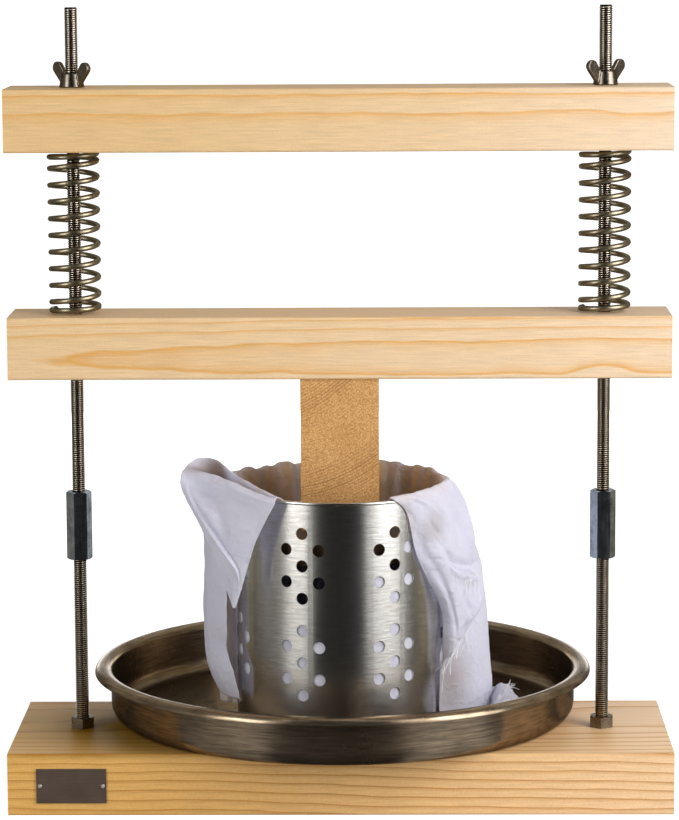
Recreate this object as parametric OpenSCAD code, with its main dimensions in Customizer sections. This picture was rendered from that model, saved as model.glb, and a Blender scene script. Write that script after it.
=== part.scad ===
// A standing press for tofu and soft cheese. A presser beam with a wooden block slides on two
// threaded rods, and two springs between it and the top beam push the block down into a
// perforated mold that stands in a drip tray.
// Origin: the middle of the base board's underside. X runs along the board, Y to the back, Z up.

/* [Boards] */
// Length of the base board and of both beams
board_l = 380; // [360:1:460]
// Depth of the base board
board_d = 130; // [110:1:200]
// Thickness of the base board
board_t = 36; // [32:1:50]
// Depth of the two beams
beam_d = 48; // [44:1:70]
// Height of the two beams
beam_h = 36; // [32:1:50]
// Radius of the planed long edges
edge_r = 1.5; // [0.5:0.5:4]

/* [Rods] */
// Distance from each rod to the end of the boards
rod_inset = 37.5; // [30:0.5:42]
// Diameter of the threaded rods
rod_d = 8; // [6:0.5:9]
// Depth of the chamfer at the rod ends
rod_chamfer = 0.8; // [0.2:0.1:1.5]
// Rod left above the wing nuts
rod_spare = 31; // [30:1:80]
// Gap between a rod and its hole in the base board
base_hole_gap = 0.3; // [0.1:0.1:0.6]
// Gap between a rod and its hole in a beam
beam_hole_gap = 0.7; // [0.3:0.1:0.9]
// Gap between the thread of a rod and the thread of a nut
thread_gap = 0.05; // [0.02:0.01:0.1]

/* [Nuts] */
// Width across the flats of the hexagon nuts
nut_flats = 13; // [13:0.5:15]
// Height of the nuts on the base board
nut_h = 6.5; // [5:0.5:9]
// Turn of the nuts on the base board about their rods
base_nut_turn = 25; // [0:1:60]
// Length of the coupling nuts
coupling_l = 40; // [25:1:60]
// Height of the coupling nuts' middle above the base board
coupling_mid = 121; // [90:1:130]
// Turn of the left coupling nut about its rod
coupling_turn_left = 12; // [0:1:60]
// Turn of the right coupling nut about its rod
coupling_turn_right = 2; // [0:1:60]
// Outer diameter of the washers under the base board
washer_d = 18; // [16:0.5:20]
// Thickness of those washers
washer_t = 1.6; // [1:0.1:2]
// Diameter of the recesses under the base board
recess_d = 24; // [22:1:30]
// Depth of the recesses under the base board
recess_depth = 12; // [11:0.5:16]
// Gap between the two rods that meet in a coupling nut
rod_joint_gap = 1; // [0.5:0.5:2]

/* [Wing nuts] */
// Span over the two wings
wing_span = 30; // [26:1:40]
// Height of the wing tips
wing_h = 14.5; // [12:0.5:20]
// Thickness of a wing
wing_t = 2.8; // [2:0.1:4]
// Diameter of the foot
wing_foot_d = 14.5; // [13:0.5:18]
// Diameter at the top of the body
wing_neck_d = 12; // [11:0.5:13]
// Height of the body between the wings
wing_body_h = 8; // [6:0.5:10]
// Turn of the wing nuts about their rods
wing_nut_turn = 43; // [0:1:90]

/* [Presser] */
// Gap between the mold's rim and the underside of the presser beam
press_gap = 65; // [60:1:100]
// Width of the wooden block
block_w = 45; // [30:1:60]
// Depth of the wooden block
block_d = 44; // [30:1:60]
// Height of the wooden block
block_h = 88; // [80:1:130]
// Diameter of the dowels between the beam and the block
dowel_d = 8; // [6:1:10]
// Distance between the two dowels
dowel_spacing = 22; // [16:1:26]
// How deep a dowel stands in the beam and in the block
dowel_depth = 22; // [10:1:28]
// Gap between a dowel and its hole
dowel_gap = 0.1; // [0.05:0.05:0.3]
// Thickness of the follower disc
follower_t = 15; // [10:1:20]
// Gap between the follower disc and the cloth in the mold
follower_gap = 3; // [1:0.5:6]
// Shaft diameter of the screws that hold the follower
screw_d = 4; // [3:0.5:5]
// Head diameter of those screws
screw_head_d = 8; // [7:0.5:10]
// Length of those screws
screw_l = 40; // [25:1:50]

/* [Springs] */
// Length of the springs between the beams
spring_l = 94; // [80:1:120]
// Outer diameter of the springs
spring_d = 30.5; // [24:0.5:40]
// Diameter of the spring wire
wire_d = 3.2; // [2:0.1:4]
// Rise of an open coil in one turn
coil_pitch = 9.63; // [7:0.01:14]
// Gap between the closed end turn and the next one
end_turn_gap = 0.7; // [0.5:0.1:2]
// Gap between a spring end and the beam it seats on
spring_seat = 0.2; // [0.1:0.1:0.5]
// Direction of the lower wire end, counted from the right by way of the back
spring_start = 150; // [0:1:359]

/* [Tray] */
// Height of the tray
tray_h = 31; // [25:1:34]
// Thickness of the tray's sheet
tray_t = 1; // [0.8:0.1:1.5]
// Width of the rim outside the wall
tray_flange = 9.5; // [6:0.5:14]
// Height of the turned down edge of the rim
tray_lip = 3; // [2:0.5:6]
// Inner radius between the wall and the floor
tray_corner = 8; // [4:0.5:10]
// Inner radius between the wall and the rim
tray_shoulder = 4; // [2:0.5:5]
// Gap between the rim and each rod
tray_rod_gap = 0.8; // [0.4:0.1:3]
// Gap between the cloth's widest fold and the tray's wall in front
tray_cloth_gap = 4; // [2:0.5:10]

/* [Mold] */
// Outer diameter of the mold
mold_d = 122; // [110:1:124]
// Height of the mold
mold_h = 143; // [135:1:180]
// Thickness of the mold's wall
mold_t = 0.8; // [0.6:0.1:1.2]
// Diameter of the bead around the rim
bead_d = 2; // [1.5:0.1:3]
// Radius of the edge at the foot
mold_corner = 4; // [2:0.5:8]
// Gap between the mold and the tray's floor
mold_seat = 0.3; // [0.1:0.1:0.5]
// Diameter of the holes
hole_d = 7; // [4:0.5:8]
// Height between two holes in a column
hole_pitch = 18.7; // [16:0.5:20]
// Distance from the rim to the middle of the upper hole groups
hole_top = 37.2; // [30:0.1:40]
// Number of hole groups around the mold
hole_groups = 7; // [5:1:8]
// Number of rings of hole groups
hole_rings = 2; // [1:1:2]
// Angle between neighbouring columns of holes
hole_step = 9.3; // [8:0.1:11]
// Angle from the front to the first group, positive to the right
hole_turn = 31; // [0:1:50]
// Distance from the middle of the floor to its ring of holes
floor_hole_r = 35; // [25:1:42]

/* [Cloth] */
// Thickness of the gathered cloth
cloth_t = 1; // [0.8:0.1:1.5]
// Gap between the cloth and what it hangs over or lies on
cloth_gap = 0.5; // [0.4:0.1:1]
// How far the skirt reaches out from the mold
cloth_reach = 33; // [26:1:36]
// Depth of the folds at the hem
fold_depth = 3; // [1:0.5:5]
// Number of folds around the whole skirt
fold_count = 11; // [7:1:14]
// How far the loop on the left rises over the rim
loop_rise = 13; // [4:1:15]
// How far the loop on the left stands out from the mold
loop_reach = 30; // [20:1:36]

/* [Plate] */
// Width of the plate on the front
plate_w = 40; // [30:1:50]
// Height of the plate
plate_h = 20; // [14:1:26]
// Thickness of the plate
plate_t = 0.8; // [0.5:0.1:1.5]
// Distance from the plate's middle to the left end of the base board
plate_inset = 36.5; // [27:0.5:60]
// Height of the plate's middle
plate_mid = 17.5; // [16:0.5:18]
// Distance from a pin to the end of the plate
pin_inset = 2; // [1.6:0.1:3]
// Diameter of the pins' shafts
pin_d = 1.2; // [1:0.1:1.5]
// Diameter of the pins' heads
pin_head_d = 2.4; // [2:0.1:3]
// Length of the pins' shafts in the wood
pin_l = 8; // [5:1:12]

/* [Hidden] */

pine = "BurlyWood";
end_grain = "Peru";
steel = "DimGray";
bright = "Silver";

round_fn = 64;
arc_steps = 5;
cut = 1;

rod_x = board_l / 2 - rod_inset;
nut_bore = rod_d + 2 * thread_gap;
nut_corners = nut_flats / cos(30);

tray_rim_r = rod_x - rod_d / 2 - tray_rod_gap;
tray_in_r = tray_rim_r - tray_flange - tray_t;
tray_y = tray_in_r - mold_d / 2 - cloth_reach - tray_cloth_gap;
tray_floor_z = board_t + tray_t;

mold_z = tray_floor_z + mold_seat;
mold_r = mold_d / 2;
mold_in_r = mold_r - mold_t;
rim_z = mold_z + mold_h;

cloth_in_r = mold_in_r - cloth_gap;
cloth_floor_z = mold_z + mold_t + cloth_gap;
hem_z = tray_floor_z + cloth_gap;

presser_z = rim_z + press_gap;
block_z = presser_z - block_h;
follower_z = block_z - follower_t;
lining_t = 1.6 * cloth_t;
follower_r = cloth_in_r - lining_t - follower_gap;
top_beam_z = presser_z + beam_h + spring_l;
wing_z = top_beam_z + beam_h;
rod_top_z = wing_z + wing_h + rod_spare;

washer_z = recess_depth - washer_t;
under_nut_z = washer_z - nut_h;
rod_foot_z = under_nut_z - 2 * rod_chamfer;
coupling_z = board_t + coupling_mid - coupling_l / 2;
rod_joint_z = board_t + coupling_mid;

// Points of a quarter circle of radius r about c, starting at angle a.
function quarter(c, r, a) = [
    for (i = [0:arc_steps])
        c + r * [cos(a + 90 * i / arc_steps), sin(a + 90 * i / arc_steps)]
];

// A rectangle of w by h about the origin with rounded corners.
function rounded_outline(w, h, r) = concat(
    quarter([w / 2 - r, h / 2 - r], r, 0),
    quarter([r - w / 2, h / 2 - r], r, 90),
    quarter([r - w / 2, r - h / 2], r, 180),
    quarter([w / 2 - r, r - h / 2], r, 270)
);

// A planed board of l by d by h that stands on z = 0, with its four long edges rounded.
module planed_board(l, d, h) {
    translate([-l / 2, 0, h / 2])
        rotate([90, 0, 90])
            linear_extrude(l)
                polygon(rounded_outline(d, h, edge_r));
}

module at_rods() {
    for (side = [-1, 1])
        translate([side * rod_x, 0, 0])
            children();
}

// ---- Base ----

module base_board() {
    color(pine)
        difference() {
            planed_board(board_l, board_d, board_t);
            at_rods() {
                translate([0, 0, -cut])
                    cylinder(h = board_t + 2 * cut, d = rod_d + 2 * base_hole_gap, $fn = round_fn);
                translate([0, 0, -cut])
                    cylinder(h = recess_depth + cut, d = recess_d, $fn = round_fn);
            }
            at_plate()
                plate_pin_shafts(pin_d + 2 * thread_gap, pin_l + cut);
        }
}

// The plate's frame: x along the board, y up its front face, z out towards the front.
module at_plate() {
    translate([plate_inset - board_l / 2, -board_d / 2, plate_mid])
        rotate([90, 0, 0])
            children();
}

module plate_pin_shafts(d, l) {
    for (side = [-1, 1])
        translate([side * (plate_w / 2 - pin_inset), 0, -l])
            cylinder(h = l + plate_t + cut, d = d, $fn = round_fn);
}

module name_plate() {
    color(steel)
        at_plate()
            difference() {
                linear_extrude(plate_t)
                    square([plate_w, plate_h], center = true);
                plate_pin_shafts(pin_d + 2 * thread_gap, cut);
            }
}

module plate_pins() {
    head_h = pin_head_d / 4;
    color(bright)
        at_plate()
            for (side = [-1, 1])
                translate([side * (plate_w / 2 - pin_inset), 0, -pin_l])
                    rotate_extrude($fn = round_fn)
                        polygon([
                            [0, 0],
                            [pin_d / 2, pin_d / 2],
                            [pin_d / 2, pin_l + plate_t],
                            [pin_head_d / 2, pin_l + plate_t],
                            [pin_head_d / 3, pin_l + plate_t + head_h],
                            [0, pin_l + plate_t + head_h]
                        ]);
}

// ---- Rods and nuts ----

// A rod from z0 to z1 with chamfered ends.
module rod(side, z0, z1) {
    color(steel)
        translate([side * rod_x, 0, 0])
            rotate_extrude($fn = round_fn)
                polygon([
                    [0, z0],
                    [rod_d / 2 - rod_chamfer, z0],
                    [rod_d / 2, z0 + rod_chamfer],
                    [rod_d / 2, z1 - rod_chamfer],
                    [rod_d / 2 - rod_chamfer, z1],
                    [0, z1]
                ]);
}

// A hexagon nut of height h that stands on z = 0, with chamfered corners and a bore.
module hex_nut(h) {
    chamfer_h = (nut_corners - nut_flats) / 4;
    difference() {
        intersection() {
            cylinder(h = h, d = nut_corners, $fn = 6);
            rotate_extrude($fn = round_fn)
                polygon([
                    [0, 0],
                    [nut_flats / 2, 0],
                    [nut_corners / 2, chamfer_h],
                    [nut_corners / 2, h - chamfer_h],
                    [nut_flats / 2, h],
                    [0, h]
                ]);
        }
        translate([0, 0, -cut])
            cylinder(h = h + 2 * cut, d = nut_bore, $fn = round_fn);
    }
}

module base_nut(side, turn) {
    color(steel)
        translate([side * rod_x, 0, board_t])
            rotate(turn)
                hex_nut(nut_h);
}

module coupling_nut(side, turn) {
    color("SlateGray")
        translate([side * rod_x, 0, coupling_z])
            rotate(turn)
                hex_nut(coupling_l);
}

module under_washers() {
    color(bright)
        at_rods()
            translate([0, 0, washer_z])
                difference() {
                    cylinder(h = washer_t, d = washer_d, $fn = round_fn);
                    translate([0, 0, -cut])
                        cylinder(h = washer_t + 2 * cut, d = rod_d + 2 * base_hole_gap, $fn = round_fn);
                }
}

module under_nuts() {
    color(steel)
        at_rods()
            translate([0, 0, under_nut_z])
                hex_nut(nut_h);
}

// One wing, standing in the plane y = 0 on the +X side of the body.
module wing() {
    tip_r = wing_h / 4;
    tip_x = wing_span / 2 - tip_r;
    root_x = rod_d / 2 + thread_gap + 0.5;
    rotate([90, 0, 0])
        linear_extrude(wing_t, center = true)
            union() {
                translate([tip_x, wing_h - tip_r])
                    circle(r = tip_r, $fn = round_fn);
                polygon([
                    [root_x, 1],
                    [wing_foot_d / 2, 1],
                    [tip_x + 0.8 * tip_r, wing_h - 1.6 * tip_r],
                    [tip_x - 0.8 * tip_r, wing_h - 0.4 * tip_r],
                    [root_x, wing_body_h - 0.5]
                ]);
            }
}

module wing_nut(side, turn) {
    color(steel)
        translate([side * rod_x, 0, wing_z])
            rotate(turn)
                difference() {
                    union() {
                        cylinder(h = wing_body_h, d1 = wing_foot_d, d2 = wing_neck_d, $fn = round_fn);
                        wing();
                        rotate(180)
                            wing();
                    }
                    translate([0, 0, -cut])
                        cylinder(h = wing_h + 2 * cut, d = nut_bore, $fn = round_fn);
                }
}

// ---- Beams and presser ----

module beam_with_rod_holes(z) {
    translate([0, 0, z])
        difference() {
            planed_board(board_l, beam_d, beam_h);
            at_rods()
                translate([0, 0, -cut])
                    cylinder(h = beam_h + 2 * cut, d = rod_d + 2 * beam_hole_gap, $fn = round_fn);
        }
}

// Two upright cylinders beside each other, for the dowels, the screws and their holes.
module upright_pair(z, h, d) {
    for (side = [-1, 1])
        translate([side * dowel_spacing / 2, 0, z])
            cylinder(h = h, d = d, $fn = round_fn);
}

module presser_beam() {
    color(pine)
        difference() {
            beam_with_rod_holes(presser_z);
            upright_pair(presser_z - cut, dowel_depth + cut, dowel_d + 2 * dowel_gap);
        }
}

module top_beam() {
    color(pine)
        beam_with_rod_holes(top_beam_z);
}

module pusher_block() {
    screw_in_block = screw_l - follower_t;
    color(end_grain)
        difference() {
            translate([-block_w / 2, -block_d / 2, block_z])
                cube([block_w, block_d, block_h]);
            upright_pair(presser_z - dowel_depth, dowel_depth + cut, dowel_d + 2 * dowel_gap);
            upright_pair(block_z - cut, screw_in_block + cut, screw_d + 2 * thread_gap);
        }
}

module block_dowels() {
    color(pine)
        upright_pair(presser_z - dowel_depth + dowel_gap, 2 * (dowel_depth - dowel_gap), dowel_d);
}

// A countersunk screw, head down, from z = 0 up.
module wood_screw(d, head_d) {
    head_h = (head_d - d) / 2;
    rotate_extrude($fn = round_fn)
        polygon([
            [0, 0],
            [head_d / 2, 0],
            [d / 2, head_h],
            [d / 2, screw_l - screw_d],
            [0, screw_l - screw_d / 2]
        ]);
}

module follower_disc() {
    color(pine)
        translate([0, 0, follower_z])
            difference() {
                cylinder(h = follower_t, r = follower_r, $fn = 2 * round_fn);
                for (side = [-1, 1])
                    translate([side * dowel_spacing / 2, 0, 0])
                        wood_screw(screw_d + 2 * thread_gap, screw_head_d + 2 * thread_gap);
            }
}

module follower_screws() {
    color(bright)
        for (side = [-1, 1])
            translate([side * dowel_spacing / 2, 0, follower_z])
                wood_screw(screw_d, screw_head_d);
}

// ---- Springs ----

curl_rings = 8;
wire_sides = 6;
coil_r = spring_d / 2 - wire_d / 2;
end_rise = wire_d + end_turn_gap;
wire_z0 = spring_seat + wire_d / 2;
open_rise = spring_l - 2 * wire_z0 - 2 * end_rise;
coil_turns = 2 + open_rise / coil_pitch;
coil_steps = round(coil_turns * curl_rings);

// Height of the wire's middle after t turns: one close turn at each end, open turns between.
function wire_z(t) = lookup(t, [
    [0, wire_z0],
    [1, wire_z0 + end_rise],
    [coil_turns - 1, wire_z0 + end_rise + open_rise],
    [coil_turns, wire_z0 + 2 * end_rise + open_rise]
]);

// The ring of points around the wire after t turns.
function wire_ring(t) = [
    for (k = [0:wire_sides - 1])
        let (
            a = spring_start + 360 * t,
            b = 360 * k / wire_sides,
            r = coil_r + wire_d / 2 * cos(b)
        )
        [r * cos(a), r * sin(a), wire_z(t) + wire_d / 2 * sin(b)]
];

coil_points = [
    for (i = [0:coil_steps])
        each wire_ring(coil_turns * i / coil_steps)
];

// Triangles of a tube of n + 1 rings with s sides, closed by a fan at each end.
function tube_faces(n, s) = concat(
    [for (i = [0:n - 1], k = [0:s - 1]) [i * s + k, i * s + (k + 1) % s, (i + 1) * s + k]],
    [for (i = [0:n - 1], k = [0:s - 1])
        [i * s + (k + 1) % s, (i + 1) * s + (k + 1) % s, (i + 1) * s + k]],
    [for (k = [1:s - 2]) [0, k + 1, k]],
    [for (k = [1:s - 2]) [n * s, n * s + k, n * s + k + 1]]
);

// Least distance between the wire and its next turn, measured on the points of both.
coil_gap = min([
    for (i = [0:coil_steps - curl_rings + 1])
        for (j = [i + curl_rings - 1:min(i + curl_rings + 1, coil_steps)])
            for (k = [0:wire_sides - 1])
                for (m = [0:wire_sides - 1])
                    norm(coil_points[i * wire_sides + k] - coil_points[j * wire_sides + m])
]);

module spring(side) {
    color(steel)
        translate([side * rod_x, 0, presser_z + beam_h])
            polyhedron(coil_points, tube_faces(coil_steps, wire_sides));
}

// ---- Tray ----

// One face of the tray's half section, t above its underside: floor, corner, wall, shoulder,
// rim and lip.
function tray_line(t) = concat(
    [[0, t]],
    [for (i = [0:arc_steps])
        let (a = 90 * i / arc_steps, r = tray_corner + tray_t - t)
        [tray_in_r - tray_corner + r * sin(a), tray_corner + tray_t - r * cos(a)]],
    [for (i = [0:arc_steps])
        let (a = 90 * i / arc_steps, r = tray_shoulder + t)
        [tray_in_r + tray_t + tray_shoulder - r * cos(a), tray_h - tray_t - tray_shoulder + r * sin(a)]],
    [[tray_rim_r - tray_t + t, tray_h - tray_t + t]],
    [[tray_rim_r - tray_t + t, tray_h - tray_lip]]
);

module tray() {
    inner = tray_line(tray_t);
    outer = tray_line(0);
    color(steel)
        translate([0, tray_y, board_t])
            rotate_extrude($fn = 2 * round_fn)
                polygon(concat(outer, [for (i = [len(inner) - 1:-1:0]) inner[i]]));
}

// ---- Mold ----

// A hole through the wall at an angle from the front and a depth below the rim.
module wall_hole(angle, depth) {
    translate([0, 0, rim_z - depth])
        rotate([90, 0, angle])
            translate([0, 0, mold_in_r - cut])
                cylinder(h = mold_t + 2 * cut, d = hole_d, $fn = round_fn);
}

// Seven holes: a column of three between two columns of two.
module hole_group(angle, depth) {
    for (row = [-1:1])
        wall_hole(angle, depth + row * hole_pitch);
    for (column = [-1, 1], row = [-0.5, 0.5])
        wall_hole(angle + column * hole_step, depth + row * hole_pitch);
}

// Half section of the mold's sheet: floor, rounded foot and wall.
module mold_section() {
    outer_r = mold_corner;
    inner_r = mold_corner - mold_t;
    centre = [mold_r - mold_corner, mold_corner];
    polygon(concat(
        [[0, 0]],
        quarter(centre, outer_r, 270),
        [[mold_r, mold_h - bead_d / 2], [mold_in_r, mold_h - bead_d / 2]],
        [for (p = [arc_steps:-1:0]) quarter(centre, inner_r, 270)[p]],
        [[0, mold_t]]
    ));
}

module mold() {
    color(bright)
        difference() {
            translate([0, 0, mold_z])
                rotate_extrude($fn = 2 * round_fn) {
                    mold_section();
                    translate([mold_in_r + bead_d / 2, mold_h - bead_d / 2])
                        circle(d = bead_d, $fn = round_fn);
                }
            for (ring = [0:hole_rings - 1], group = [0:hole_groups - 1])
                hole_group(hole_turn + 360 * group / hole_groups, hole_top + 3 * ring * hole_pitch);
            for (group = [0:hole_groups - 1])
                rotate(360 * group / hole_groups)
                    translate([0, -floor_hole_r, mold_z - cut])
                        cylinder(h = mold_t + 2 * cut, d = hole_d, $fn = round_fn);
        }
}

// ---- Cloth ----

// Angles are measured from the front, positive to the right, and run once around the back.
cloth_start = 30;
cloth_end = 325;
cloth_columns = 46;
drop_rows = 7;

// Share of the way down to the tray that the hem reaches.
hem_share = [
    [30, 0.08], [45, 0.25], [60, 0.42], [80, 0.75], [92, 1],
    [272, 1], [284, 0.9], [300, 0.46], [325, 0.08]
];
// Share of the left side's loop in the shape.
loop_share = [[180, 0], [235, 1], [300, 1], [325, 0.25]];
// Reach of the plain side's skirt, by the share of the way down.
skirt_reach = [[0, 0.1], [0.12, 0.31], [0.3, 0.62], [0.5, 0.83], [0.75, 0.97], [0.87, 1], [1, 0.83]];
// Reach of the left side below its loop, by the share of the way down.
loop_fall = [[-0.1, 1], [0, 0.98], [0.1, 0.75], [0.25, 0.58], [1, 0.52]];

function mix(a, b, s) = a + (b - a) * s;

// Rows over the rim as [reach, rise], first of the plain side, then of the side with the loop.
// The skirt's inner end stands in the middle of the lining.
inner_reach = cloth_in_r - (lining_t - cloth_t) / 2 - mold_r;
plain_crest = [[inner_reach, -12], [inner_reach, -2], [-0.7, 0.9], [1.8, 1.3], [3, -2]];
loop_crest = [
    [inner_reach, -12],
    [inner_reach, -2],
    [0, 0.4 * loop_rise],
    [0.3 * loop_reach, loop_rise],
    [0.75 * loop_reach, 0.9 * loop_rise]
];

function fold(a, share) = fold_depth * share * cos(fold_count * (a - cloth_start));

// Reach of the skirt at angle a and height z.
function skirt_out(a, z) = let (share = (rim_z - z) / (rim_z - hem_z))
    mix(
        (cloth_reach - fold_depth - cloth_t) * lookup(share, skirt_reach),
        loop_reach * lookup(share, loop_fall),
        lookup(a, loop_share)
    ) + fold(a, max(share, 0));

// One column of the cloth's inner face, from inside the rim over it and down to the hem.
function cloth_column(a) = let (
    loop = lookup(a, loop_share),
    top = rim_z + mix(-6, 0, loop),
    bottom = mix(top, hem_z, lookup(a, hem_share))
) concat(
    [for (row = [0:len(plain_crest) - 1]) mix(plain_crest[row], loop_crest[row], loop) + [mold_r, rim_z]],
    [for (row = [0:drop_rows])
        let (z = mix(top, bottom, row / drop_rows))
        [mold_r + skirt_out(a, z), z]]
);

cloth_rows = len(plain_crest) + drop_rows + 1;
cloth_grid = [
    for (i = [0:cloth_columns])
        let (a = mix(cloth_start, cloth_end, i / cloth_columns))
        [for (p = cloth_column(a)) [p[0] * sin(a), -p[0] * cos(a), p[1]]]
];

// Outward normal of the grid at column i and row j.
function cloth_normal(i, j) = let (
    along = cloth_grid[min(i + 1, cloth_columns)][j] - cloth_grid[max(i - 1, 0)][j],
    down = cloth_grid[i][min(j + 1, cloth_rows - 1)] - cloth_grid[i][max(j - 1, 0)],
    n = cross(down, along)
) n / norm(n);

cloth_points = concat(
    [for (i = [0:cloth_columns], j = [0:cloth_rows - 1]) cloth_grid[i][j]],
    [for (i = [0:cloth_columns], j = [0:cloth_rows - 1]) cloth_grid[i][j] + cloth_t * cloth_normal(i, j)]
);

function inner_point(i, j) = i * cloth_rows + j;
function outer_point(i, j) = (cloth_columns + 1) * cloth_rows + i * cloth_rows + j;
function two_triangles(a, b, c, d) = [[a, b, c], [a, c, d]];

cloth_faces = [
    for (i = [0:cloth_columns - 1], j = [0:cloth_rows - 2])
        each concat(
            two_triangles(inner_point(i, j), inner_point(i, j + 1),
                          inner_point(i + 1, j + 1), inner_point(i + 1, j)),
            two_triangles(outer_point(i, j), outer_point(i + 1, j),
                          outer_point(i + 1, j + 1), outer_point(i, j + 1))
        ),
    for (i = [0:cloth_columns - 1])
        each concat(
            two_triangles(inner_point(i, 0), inner_point(i + 1, 0),
                          outer_point(i + 1, 0), outer_point(i, 0)),
            two_triangles(inner_point(i, cloth_rows - 1), outer_point(i, cloth_rows - 1),
                          outer_point(i + 1, cloth_rows - 1), inner_point(i + 1, cloth_rows - 1))
        ),
    for (j = [0:cloth_rows - 2])
        each concat(
            two_triangles(inner_point(0, j), outer_point(0, j),
                          outer_point(0, j + 1), inner_point(0, j + 1)),
            two_triangles(inner_point(cloth_columns, j), inner_point(cloth_columns, j + 1),
                          outer_point(cloth_columns, j + 1), outer_point(cloth_columns, j))
        )
];

// The cup of cloth that lines the mold.
module cloth_lining() {
    lining_top = rim_z - 3;
    rotate_extrude($fn = 2 * round_fn)
        polygon([
            [0, cloth_floor_z],
            [cloth_in_r - mold_corner, cloth_floor_z],
            [cloth_in_r, cloth_floor_z + mold_corner],
            [cloth_in_r, lining_top],
            [cloth_in_r - lining_t, lining_top],
            [cloth_in_r - lining_t, cloth_floor_z + mold_corner + cloth_t],
            [cloth_in_r - mold_corner - cloth_t, cloth_floor_z + cloth_t],
            [0, cloth_floor_z + cloth_t]
        ]);
}

module cheesecloth() {
    color("WhiteSmoke") {
        cloth_lining();
        polyhedron(cloth_points, cloth_faces);
    }
}

echo(coil_gap = coil_gap, coil_turns = coil_turns, cloth_triangles = len(cloth_faces));

base_board();
name_plate();
plate_pins();
rod(-1, rod_foot_z, rod_joint_z - rod_joint_gap / 2);  // lower_rod_left
rod(1, rod_foot_z, rod_joint_z - rod_joint_gap / 2);  // lower_rod_right
base_nut(-1, -base_nut_turn);  // base_nut_left
base_nut(1, base_nut_turn);  // base_nut_right
under_washers();
under_nuts();
coupling_nut(-1, coupling_turn_left);  // coupling_nut_left
coupling_nut(1, coupling_turn_right);  // coupling_nut_right
rod(-1, rod_joint_z + rod_joint_gap / 2, rod_top_z);  // upper_rod_left
rod(1, rod_joint_z + rod_joint_gap / 2, rod_top_z);  // upper_rod_right
presser_beam();
pusher_block();
block_dowels();
follower_disc();
follower_screws();
spring(-1);  // spring_left
spring(1);  // spring_right
top_beam();
wing_nut(-1, -wing_nut_turn);  // wing_nut_left
wing_nut(1, wing_nut_turn);  // wing_nut_right
tray();
mold();
cheesecloth();
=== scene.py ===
import math

import bpy
import numpy as np
from mathutils import Matrix, Vector, noise

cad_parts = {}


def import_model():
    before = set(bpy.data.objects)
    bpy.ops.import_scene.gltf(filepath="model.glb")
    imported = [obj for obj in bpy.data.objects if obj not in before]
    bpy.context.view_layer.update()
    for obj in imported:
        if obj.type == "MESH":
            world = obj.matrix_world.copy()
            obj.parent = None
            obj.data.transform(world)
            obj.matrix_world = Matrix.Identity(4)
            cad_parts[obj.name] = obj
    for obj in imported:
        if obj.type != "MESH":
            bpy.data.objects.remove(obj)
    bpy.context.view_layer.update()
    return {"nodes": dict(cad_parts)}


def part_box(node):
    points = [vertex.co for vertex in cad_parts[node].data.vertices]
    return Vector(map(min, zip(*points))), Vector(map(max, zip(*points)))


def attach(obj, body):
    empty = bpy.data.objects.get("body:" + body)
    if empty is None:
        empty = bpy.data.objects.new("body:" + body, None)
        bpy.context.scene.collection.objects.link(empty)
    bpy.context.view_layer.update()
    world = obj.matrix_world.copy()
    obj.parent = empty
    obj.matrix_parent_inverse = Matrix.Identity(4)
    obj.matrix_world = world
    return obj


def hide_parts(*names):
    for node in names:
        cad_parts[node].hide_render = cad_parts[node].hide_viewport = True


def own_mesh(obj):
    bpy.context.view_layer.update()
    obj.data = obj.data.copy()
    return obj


# Lengths are in metres and angles in radians unless a comment says otherwise, in the frame of the
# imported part.

HALF_LENGTH = 0.19
BOARD_TOP = 0.036
BEAM_FRONT = -0.024

ROD_X = 0.1525
ROD_R = 0.004
ROD_CHAMFER = 0.0008
THREAD_PITCH = 0.00125
THREAD_ROOT_R = 0.00339

SPRING_R = 0.01525
SPRING_START = math.radians(150)
SPRING_SEAT = 0.0002
WIRE_R = 0.0016
COIL_PITCH = 0.00963
END_RISE = 0.0039

TRAY_Y = 0.0392
TRAY_BASE_Z = 0.0365
TRAY_WALL_R = 0.1377
TRAY_CORNER = 0.0085
TRAY_RIM_Z = 0.0665
TRAY_BEAD = (0.00475, 0.0036)
SHEET_T = 0.001

MOLD_R = 0.061
RIM_Z = 0.1803
CLOTH_T = 0.0004


# ---- Shader graphs ----


def rgb(red, green, blue):
    return (red, green, blue, 1)


def grey(level):
    return (level, level, level, 1)


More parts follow.
